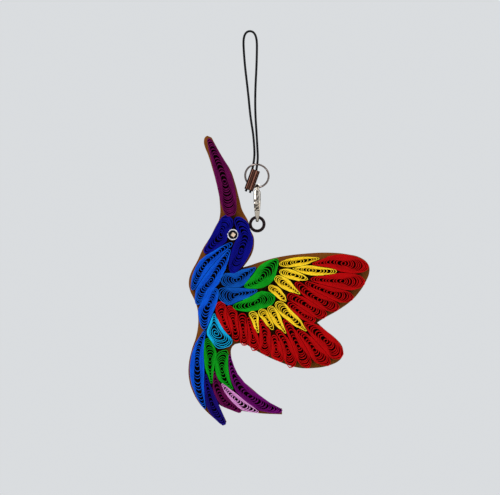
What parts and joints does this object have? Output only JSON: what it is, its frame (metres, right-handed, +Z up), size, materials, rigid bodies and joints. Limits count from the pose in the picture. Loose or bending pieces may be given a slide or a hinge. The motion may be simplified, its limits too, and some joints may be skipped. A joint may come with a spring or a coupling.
{
  "type": "quilled paper bird charm",
  "caption": "Hanging hummingbird charm of coloured quilled paper coils on a cut board, on a thin cord loop with a crimp, jump ring and lobster clasp.",
  "frame": {"origin": "underside of the cord at the top of its loop, where the charm hangs", "axes": "+Z up as it hangs, the quilled front faces -Y, +X to the right as seen from the front"},
  "size_m": [0.056, 0.0076, 0.1227],
  "materials": {
    "paper_yellow": "paper",
    "paper_dark_magenta": "paper",
    "paper_cyan": "paper",
    "paper_dark_blue": "paper",
    "paper_green": "paper",
    "paper_red": "paper",
    "paper_mid_blue": "paper",
    "paper_navy": "paper",
    "paper_pink": "paper",
    "paper_purple": "paper",
    "paper_bright_blue": "paper",
    "board": "stained board",
    "paper_white": "paper",
    "paper_black": "paper",
    "paper_cream": "paper",
    "cord": "braided cord",
    "metal": "nickel plate",
    "spring_steel": "spring wire"
  },
  "bodies": {
    "strap": {"cord_loop": "cord", "crimp_clamp": "metal", "jump_ring": "metal"},
    "clasp": {"clasp_body": "metal", "clasp_pin": "metal", "clasp_spring": "spring_steel"},
    "lever": {"clasp_lever": "metal"},
    "bird": {"backing_board": "board", "coil_bar_1": "paper_yellow", "coil_bar_2": "paper_yellow", "coil_bar_3": "paper_yellow", "coil_bar_4": "paper_yellow", "coil_bar_5": "paper_yellow", "coil_bar_6": "paper_yellow", "coil_bar_7": "paper_yellow", "coil_bar_8": "paper_yellow", "coil_bar_9": "paper_yellow", "coil_beak": "paper_dark_magenta", "coil_belly": "paper_cyan", "coil_crown": "paper_dark_blue", "coil_leaf_1": "paper_green", "coil_leaf_2": "paper_green", "coil_nape": "paper_dark_blue", "coil_plume_1": "paper_red", "coil_plume_10": "paper_red", "coil_plume_11": "paper_red", "coil_plume_12": "paper_red", "coil_plume_13": "paper_red", "coil_plume_14": "paper_red", "coil_plume_15": "paper_red", "coil_plume_16": "paper_red", "coil_plume_2": "paper_red", "coil_plume_3": "paper_red", "coil_plume_4": "paper_red", "coil_plume_5": "paper_red", "coil_plume_6": "paper_red", "coil_plume_7": "paper_red", "coil_plume_8": "paper_red", "coil_plume_9": "paper_red", "coil_shoulder_1": "paper_mid_blue", "coil_shoulder_2": "paper_mid_blue", "coil_tail_blue": "paper_bright_blue", "coil_tail_leaf_1": "paper_green", "coil_tail_leaf_2": "paper_green", "coil_tail_navy": "paper_navy", "coil_tail_pink": "paper_pink", "coil_tail_purple": "paper_purple", "coil_tail_wine": "paper_dark_magenta", "coil_throat_1": "paper_bright_blue", "coil_throat_2": "paper_bright_blue", "coil_throat_3": "paper_bright_blue", "eye_glint": "paper_cream", "eye_pupil": "paper_black", "eye_ring": "paper_white"}
  },
  "joints": [
    {"name": "clasp_swing", "type": "hinge", "parent": "strap", "child": "clasp", "pos_m": [0.00223, 0, -0.04805], "axis": [1, 0, 0], "range_deg": [-8, 20]},
    {"name": "lever_press", "type": "hinge", "parent": "clasp", "child": "lever", "pos_m": [0.00223, 0.0012, -0.05225], "axis": [-1, 0, 0], "range_deg": [0, 25], "stiffness_Nm_per_rad": 0.002, "springref_deg": -11.46},
    {"name": "bird_swing", "type": "hinge", "parent": "clasp", "child": "bird", "pos_m": [0.00223, 0, -0.05838], "axis": [0, -1, 0], "range_deg": [-6, 40]}
  ]
}
